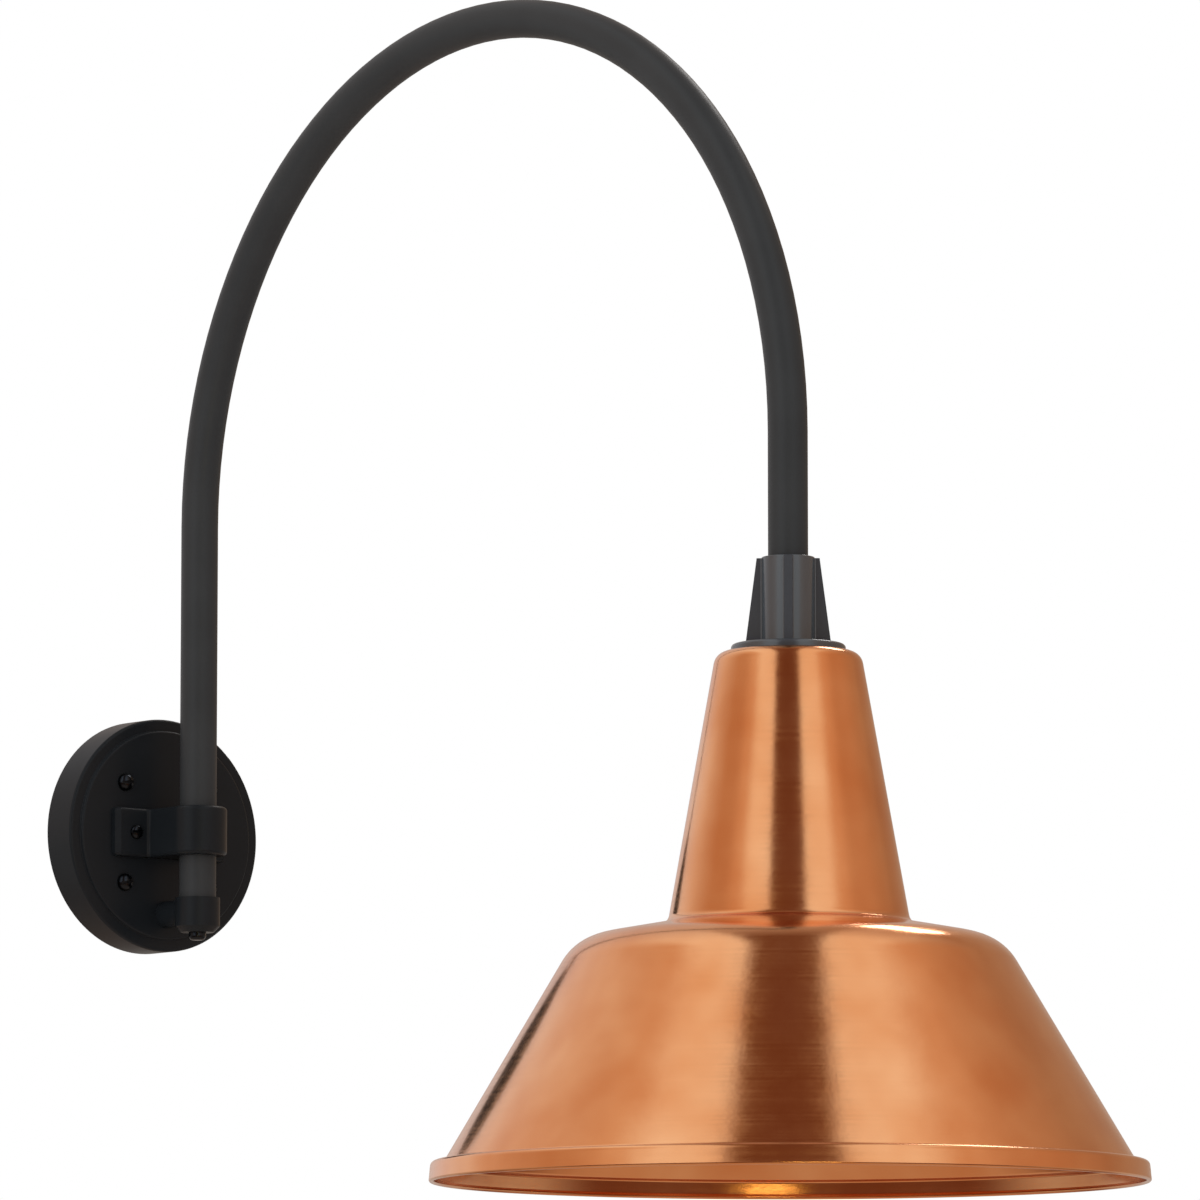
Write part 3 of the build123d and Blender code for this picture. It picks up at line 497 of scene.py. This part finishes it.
def screw_values(node, head_r, head_h, rows, seed):
    """Input values for the screws of a node, whose grid and length follow from its box."""
    low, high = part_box(node)
    seat = low.y + head_h
    return {"Seat": (0.0, seat, 0.0), "Columns": 2, "Rows": rows, "Seed": seed, "Head Radius": head_r,
            "Head Height": head_h, "Dome Rounding": DOME_SHARE * head_h, "Shank Radius": SHANK_R,
            "Shank Length": high.y - seat, "Slot Width": SLOT_W, "Slot Depth": SLOT_DEPTH,
            "Spacing X": high.x - low.x - 2 * head_r, "Most Spin": MOST_SPIN,
            "Spacing Z": (rows - 1) * (high.z - low.z - 2 * head_r)}


soft_edges = ("BEVEL", {"width": SLOT_EDGE, "segments": 2, "limit_method": "ANGLE",
                        "angle_limit": CREASE, "harden_normals": True})
grow("canopy_round_heads", slotted_screws,
     screw_values("canopy_screws", head_r=4.8 * MM, head_h=4.4 * MM, rows=2, seed=3),
     "canopy_screws", soft_edges)
grow("bracket_round_heads", slotted_screws,
     screw_values("bracket_screws", head_r=3.9 * MM, head_h=2.8 * MM, rows=1, seed=5),
     "bracket_screws", soft_edges)

# %% [markdown]
# The lamp's cap and the shell of its holder are thin metal with a rolled thread, a round wave that
# winds up the wall. A cylinder with many rings gets that wave from a rule: the wall moves in by a
# cosine of the height less the turn. Both pieces use the same rule at the same height, so the
# wave of the cap lies in the wave of the shell.

# %% A tree for rolled threads
def thread_tree():
    """Tree for a thin round wall with a rolled thread between a plain band and a drawn-in top."""
    sizes = ["Radius", "Length", "Middle Height", "Pitch", "Thread Depth", "Plain Band", "Top Draw",
             "Top Height"]
    inputs = {"Axis": "Vector", "Around": "Int", "Along": "Int", "Finish": "Material"}
    tree, given = new_tree("rolled_thread", {**inputs, **{size: "Float" for size in sizes}})
    pipe = add(tree, "GeometryNodeMeshCylinder",
               {"Vertices": given["Around"], "Side Segments": given["Along"], "Radius": given["Radius"],
                "Depth": given["Length"]}, fill_type="NONE")
    place = add(tree, "ShaderNodeSeparateXYZ", {"Vector": add(tree, "GeometryNodeInputPosition")})
    outward = add(tree, "ShaderNodeCombineXYZ", {"X": place.outputs["X"], "Y": place.outputs["Y"]})
    angle = add(tree, "ShaderNodeMath", {0: place.outputs["Y"], 1: place.outputs["X"]},
                operation="ARCTAN2")
    height = add(tree, "ShaderNodeMath", {0: place.outputs["Z"], 1: given["Middle Height"]},
                 operation="ADD")
    turns = add(tree, "ShaderNodeMath", {0: height, 1: given["Pitch"]}, operation="DIVIDE")
    phase = add(tree, "ShaderNodeMath", {0: turns, 1: 2 * pi, 2: angle}, operation="MULTIPLY_ADD")
    wave = add(tree, "ShaderNodeMath", {0: phase}, operation="COSINE")
    half = add(tree, "ShaderNodeMath", {0: given["Length"], 1: 0.5}, operation="MULTIPLY")
    above = add(tree, "ShaderNodeMath", {0: place.outputs["Z"], 1: half}, operation="ADD")
    below = add(tree, "ShaderNodeMath", {0: half, 1: place.outputs["Z"]}, operation="SUBTRACT")
    band_end = add(tree, "ShaderNodeMath", {0: given["Plain Band"], 1: given["Thread Depth"]},
                   operation="ADD")
    fade_in = add(tree, "ShaderNodeMapRange", {"Value": above, "From Min": given["Plain Band"],
                                               "From Max": band_end}, interpolation_type="SMOOTHSTEP")
    trough = add(tree, "ShaderNodeMapRange", {"Value": wave, "From Min": -1.0,
                                              "To Max": given["Thread Depth"]})
    thread = add(tree, "ShaderNodeMath", {0: trough, 1: fade_in}, operation="MULTIPLY")
    drawn = add(tree, "ShaderNodeMapRange",
                {"Value": below, "From Max": given["Top Height"], "To Min": given["Top Draw"],
                 "To Max": 0.0}, interpolation_type="SMOOTHSTEP")
    inset = add(tree, "ShaderNodeMath", {0: thread, 1: drawn}, operation="MAXIMUM")
    inward = add(tree, "ShaderNodeMath", {0: inset, 1: -1.0}, operation="MULTIPLY")
    ray = add(tree, "ShaderNodeVectorMath", {0: outward}, operation="NORMALIZE")
    offset = add(tree, "ShaderNodeVectorMath", {0: ray, "Scale": inward}, operation="SCALE")
    rolled = add(tree, "GeometryNodeSetPosition", {"Geometry": pipe, "Offset": offset})
    smooth = add(tree, "GeometryNodeSetShadeSmooth", {"Geometry": rolled})
    lift = add(tree, "ShaderNodeCombineXYZ", {"Z": given["Middle Height"]})
    centre = add(tree, "ShaderNodeVectorMath", {0: given["Axis"], 1: lift}, operation="ADD")
    placed = add(tree, "GeometryNodeTransform", {"Geometry": smooth, "Translation": centre})
    end_tree(tree, placed, given["Finish"])
    return tree


rolled_thread = thread_tree()
print("thread tree:", len(rolled_thread.nodes), "nodes")

# %% [markdown]
# The lamp hangs with its cap up: a plain band next to the glass, then the thread, and a top that is
# drawn in towards the contact. The shell around it is thread from end to end. The tree makes both as
# walls without a thickness. Solidify adds it on the inside of the cap and on the outside of the
# shell, which keeps the gap between the two.

# %% Lamp cap and screw shell
THREAD_PITCH, THREAD_DEPTH, ROLLED_T = 3.629 * MM, 0.9 * MM, 0.4 * MM


def thread_values(node, wall, plain_band, top_draw, top_height):
    """Input values for a threaded wall, whose length follows from its node's box."""
    low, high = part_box(node)
    return {"Axis": (head_axis.x, head_axis.y, 0.0), "Around": 96, "Along": 96,
            "Radius": (high.x - low.x) / 2 - wall, "Length": high.z - low.z,
            "Middle Height": (low.z + high.z) / 2, "Pitch": THREAD_PITCH, "Thread Depth": THREAD_DEPTH,
            "Plain Band": plain_band, "Top Draw": top_draw, "Top Height": top_height}


thin_wall = {"thickness": ROLLED_T, "use_even_offset": True}
grow("lamp_cap_thread", rolled_thread,
     thread_values("bulb_cap", wall=0.0, plain_band=5.0 * MM, top_draw=2.2 * MM, top_height=3.0 * MM),
     "bulb_cap", ("SOLIDIFY", {**thin_wall, "offset": -1.0}))
grow("holder_shell_thread", rolled_thread,
     thread_values("screw_shell", wall=0.7 * MM, plain_band=0.0, top_draw=0.0, top_height=1.0 * MM),
     "screw_shell", ("SOLIDIFY", {**thin_wall, "offset": 1.0}))

# %% [markdown]
# The camera stands low and to the left of the light, far away with a long lens, so the shade is
# seen a little from below and upright lines stay upright. Its place and lens were fitted to the
# photograph, where the tube's width, the round canopy and the shade's rim fix them.

# %% Camera
LENS = 241.89  # millimetres, on a sensor 36 mm wide
CAMERA_PLACE = Vector((-2.6309, -3.5279, -0.4013))  # metres
CAMERA_TARGET = Vector((0, -0.39025, 0.095))
camera = bpy.data.objects.new("camera", bpy.data.cameras.new("camera"))
scene.collection.objects.link(camera)
camera.data.lens = LENS
camera.location = CAMERA_PLACE
camera.rotation_euler = (CAMERA_TARGET - CAMERA_PLACE).to_track_quat("-Z", "Y").to_euler()
scene.camera = camera
front = Vector((CAMERA_PLACE.x - CAMERA_TARGET.x, CAMERA_PLACE.y - CAMERA_TARGET.y, 0)).normalized()
up = Vector((0, 0, 1))
right = up.cross(front)
print("camera stands", round((CAMERA_PLACE - CAMERA_TARGET).length, 2), "m away")

# %% [markdown]
# Polished metal shows the room around it, so the room is drawn with care, in the world, where every
# direction has its colour. Across the view stand two white walls with a dark gap between them: the
# gap is the dark stripe down the shade. A Color Ramp draws them, read by how far a direction points
# to the right. The walls close in as they rise, so that reading is divided by a width that shrinks
# with the height.

# %% The walls that the metal sees
DIM, CREAM, WHITE, DARK = "#CAA88F", "#E0C3AD", "#FFFFFF", "#704D3E"
WALLS = [(-1.05, DIM), (-0.92, CREAM), (-0.74, WHITE), (-0.45, WHITE), (-0.33, DARK),
         (0.22, DARK), (0.36, WHITE), (0.70, WHITE), (0.91, CREAM), (1.05, DIM)]
WALL_REACH = 1.2  # the ramp runs from this far left to this far right
LEAN = 0.4        # how fast they close in with the height
scene.view_settings.view_transform = "Standard"
scene.world = bpy.data.worlds.new("studio")
scene.world.use_nodes = True
room = scene.world.node_tree
room.nodes.clear()
direction = add(room, "ShaderNodeTexCoord").outputs["Generated"]
height = add(room, "ShaderNodeSeparateXYZ", {"Vector": direction}).outputs["Z"]
aside = add(room, "ShaderNodeVectorMath", {0: direction, 1: right},
            operation="DOT_PRODUCT").outputs["Value"]
width = add(room, "ShaderNodeMath", {0: height, 1: -LEAN, 2: 1.0}, operation="MULTIPLY_ADD")
across = add(room, "ShaderNodeMath", {0: aside, 1: width}, operation="DIVIDE")
share = add(room, "ShaderNodeMapRange", {"Value": across, "From Min": -WALL_REACH, "From Max": WALL_REACH})
ramp = add(room, "ShaderNodeValToRGB", {"Fac": share})
stops = ramp.color_ramp.elements
ramp.color_ramp.interpolation = "EASE"
for place, tone in WALLS:
    stops.new((place + WALL_REACH) / (2 * WALL_REACH)).color = colour(tone)
stops.remove(stops[0])
stops.remove(stops[-1])
print("the walls have", len(stops), "stops")

# %% [markdown]
# Behind the light the room is pale on the left and warmer on the right. Below the horizon it is dark
# towards the camera, which draws the dark line under the shade's rim, and pale further out to the
# sides and behind, and again straight down, where a floor would be. Each change is a fade between
# two readings of the direction: how far it points to the right, to the camera or up, from -1 to 1.

# %% Back and ground of the room
BACK_LEFT, BACK_RIGHT = "#E8E2E2", "#AE927A"
GROUND_BELOW, GROUND_FAR = "#C5AC98", "#BDB4AC"
RIGHT_FROM, RIGHT_TO = -0.55, 0.35       # to the right: the back turns from pale to warm
BACK_FROM, BACK_TO = 0.05, -0.55         # to the camera: the walls give way to the back
SIDE_FROM, SIDE_TO = 0.45, -0.10         # to the camera: the ground turns pale at the sides and behind
SHALLOW_FROM, SHALLOW_TO = -0.50, -0.36  # up: how far down that pale ground reaches
HORIZON_FROM, HORIZON_TO = 0.02, -0.06   # up: walls and back give way to the ground
DEEP_FROM, DEEP_TO = -0.45, -0.70        # up: the ground turns pale straight down
toward = add(room, "ShaderNodeVectorMath", {0: direction, 1: front},
             operation="DOT_PRODUCT").outputs["Value"]
to_right = add(room, "ShaderNodeMapRange", {"Value": aside, "From Min": RIGHT_FROM, "From Max": RIGHT_TO})
to_back = add(room, "ShaderNodeMapRange", {"Value": toward, "From Min": BACK_FROM, "From Max": BACK_TO})
to_side = add(room, "ShaderNodeMapRange", {"Value": toward, "From Min": SIDE_FROM, "From Max": SIDE_TO},
              interpolation_type="SMOOTHSTEP")
shallow = add(room, "ShaderNodeMapRange", {"Value": height, "From Min": SHALLOW_FROM,
                                           "From Max": SHALLOW_TO})
far_out = add(room, "ShaderNodeMath", {0: to_side, 1: shallow}, operation="MULTIPLY")
under = add(room, "ShaderNodeMapRange", {"Value": height, "From Min": HORIZON_FROM, "From Max": HORIZON_TO},
            interpolation_type="SMOOTHSTEP")
deep = add(room, "ShaderNodeMapRange", {"Value": height, "From Min": DEEP_FROM, "From Max": DEEP_TO},
           interpolation_type="SMOOTHSTEP")
back = add(room, "ShaderNodeMix", {"Factor": to_right, MIX_FIRST: colour(BACK_LEFT),
                                   MIX_SECOND: colour(BACK_RIGHT)}, data_type="RGBA").outputs[MIX_RESULT]
upper = add(room, "ShaderNodeMix", {"Factor": to_back, MIX_FIRST: ramp.outputs["Color"],
                                    MIX_SECOND: back}, data_type="RGBA").outputs[MIX_RESULT]
near = add(room, "ShaderNodeMix", {"Factor": deep, MIX_FIRST: colour(DARK),
                                   MIX_SECOND: colour(GROUND_BELOW)}, data_type="RGBA").outputs[MIX_RESULT]
ground = add(room, "ShaderNodeMix", {"Factor": far_out, MIX_FIRST: near,
                                     MIX_SECOND: colour(GROUND_FAR)}, data_type="RGBA").outputs[MIX_RESULT]
inside = add(room, "ShaderNodeMix", {"Factor": under, MIX_FIRST: upper, MIX_SECOND: ground},
             data_type="RGBA").outputs[MIX_RESULT]
print("the room has", len(room.nodes), "nodes so far")

# %% [markdown]
# Only mirror rays see that room, at full strength. By way of Light Path the camera and what shows
# through glass see plain white behind the light, and matt surfaces get plain white light, a little
# weaker, so that colours come out about as they are written.

# %% What each kind of ray sees
FILL = 0.72  # light on matt surfaces, where 1 is what the camera sees as white
rays = add(room, "ShaderNodeLightPath").outputs
seen = add(room, "ShaderNodeMix", {"Factor": rays["Is Glossy Ray"], MIX_FIRST: colour(WHITE),
                                   MIX_SECOND: inside}, data_type="RGBA").outputs[MIX_RESULT]
through = add(room, "ShaderNodeMath", {0: rays["Is Camera Ray"], 1: rays["Is Transmission Ray"]},
              operation="MAXIMUM")
full = add(room, "ShaderNodeMath", {0: through, 1: rays["Is Glossy Ray"]}, operation="MAXIMUM")
strength = add(room, "ShaderNodeMapRange", {"Value": full, "To Min": FILL, "To Max": 1.0})
glow = add(room, "ShaderNodeBackground", {"Color": seen, "Strength": strength})
add(room, "ShaderNodeOutputWorld", {"Surface": glow})
print("matt surfaces get", FILL, "of the room's light")

# %% [markdown]
# Two tall soft boxes left and right of the camera light the matt paint and the floor, the left one
# more than the right. The walls of the room already stand for their faces in the metal, so mirror
# rays pass them by. A small lamp high up behind the light puts a glint on the rounded edges. A warm
# strip low in front of it, which mirror rays see and matt paint doesn't, gives the orange glow
# inside the rim. A lamp's power follows from how bright its face should look, where 1 is white. All
# angles are in degrees.

# %% Soft boxes
BOX_DISTANCE = 2.4  # metres from the middle of the shade
WARM = "#FFEC98"
head_middle = (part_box("copper_shade")[0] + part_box("copper_shade")[1]) / 2


def soft_box(name, across, climb, half_wide, half_tall, lean, brightness, tone):
    """A soft box at those angles from the camera's side, as wide and tall as it looks from the shade."""
    ahead = front * cos(radians(climb)) + up * sin(radians(climb))
    over = up * cos(radians(climb)) - front * sin(radians(climb))
    away = right * sin(radians(across)) + ahead * cos(radians(across))
    lamp = bpy.data.lights.new(name, "AREA")
    lamp.shape = "RECTANGLE"
    lamp.color = colour(tone)[:3]
    lamp.size = 2 * BOX_DISTANCE * tan(radians(half_wide))
    lamp.size_y = 2 * BOX_DISTANCE * tan(radians(half_tall))
    lamp.energy = brightness * pi * lamp.size * lamp.size_y
    box = bpy.data.objects.new(name, lamp)
    turn = Matrix((over.cross(away), over, away)).transposed() @ Matrix.Rotation(radians(lean), 3, "Z")
    box.matrix_world = Matrix.LocRotScale(head_middle + BOX_DISTANCE * away, turn.to_quaternion(), None)
    box.visible_camera = False
    scene.collection.objects.link(box)
    print(name, [round(side, 2) for side in (lamp.size, lamp.size_y)], "m")
    return box


left_box = soft_box("left_soft_box", across=-42, climb=25, half_wide=18, half_tall=42, lean=-5,
                    brightness=1.7, tone=WHITE)
right_box = soft_box("right_soft_box", across=29, climb=42, half_wide=15, half_tall=42, lean=5,
                     brightness=0.6, tone=WHITE)
soft_box("glint_lamp", across=16.7, climb=130, half_wide=6, half_tall=6, lean=0, brightness=7.0, tone=WHITE)
strip = soft_box("warm_strip", across=6, climb=-7.6, half_wide=8, half_tall=2.0, lean=0, brightness=9.0,
                 tone=WARM)
left_box.visible_glossy = right_box.visible_glossy = False
strip.visible_diffuse = False

# %% [markdown]
# The light hangs on a wall that isn't shown, with nothing under it. A pale round floor well below
# it sends light up under the arm and the shade and takes their soft shadow. Mirror rays pass it by,
# because the room has a ground of its own, and its back is clear, so that the light can be looked
# at from below.

# %% Pale floor
FLOOR_Z, FLOOR_R = -0.60, 2.0  # metres
FLOOR_STEPS = 128
PALE = "#F4F4F4"
floor = bpy.data.objects.new("floor", bpy.data.meshes.new("floor"))
turns = [2 * pi * step / FLOOR_STEPS for step in range(FLOOR_STEPS)]
edge = [(head_axis.x + FLOOR_R * cos(turn), head_axis.y + FLOOR_R * sin(turn), FLOOR_Z)
        for turn in turns]
floor.data.from_pydata(edge, [], [range(FLOOR_STEPS)])
paint, tree, shader = new_finish("pale_floor", Base_Color=colour(PALE), Roughness=0.9)
beneath = add(tree, "ShaderNodeNewGeometry").outputs["Backfacing"]
one_sided = add(tree, "ShaderNodeMixShader",
                {"Fac": beneath, 1: shader, 2: add(tree, "ShaderNodeBsdfTransparent")})
tree.links.new(one_sided.outputs[0], tree.nodes["Material Output"].inputs["Surface"])
floor.data.materials.append(paint)
scene.collection.objects.link(floor)
floor.visible_glossy = False
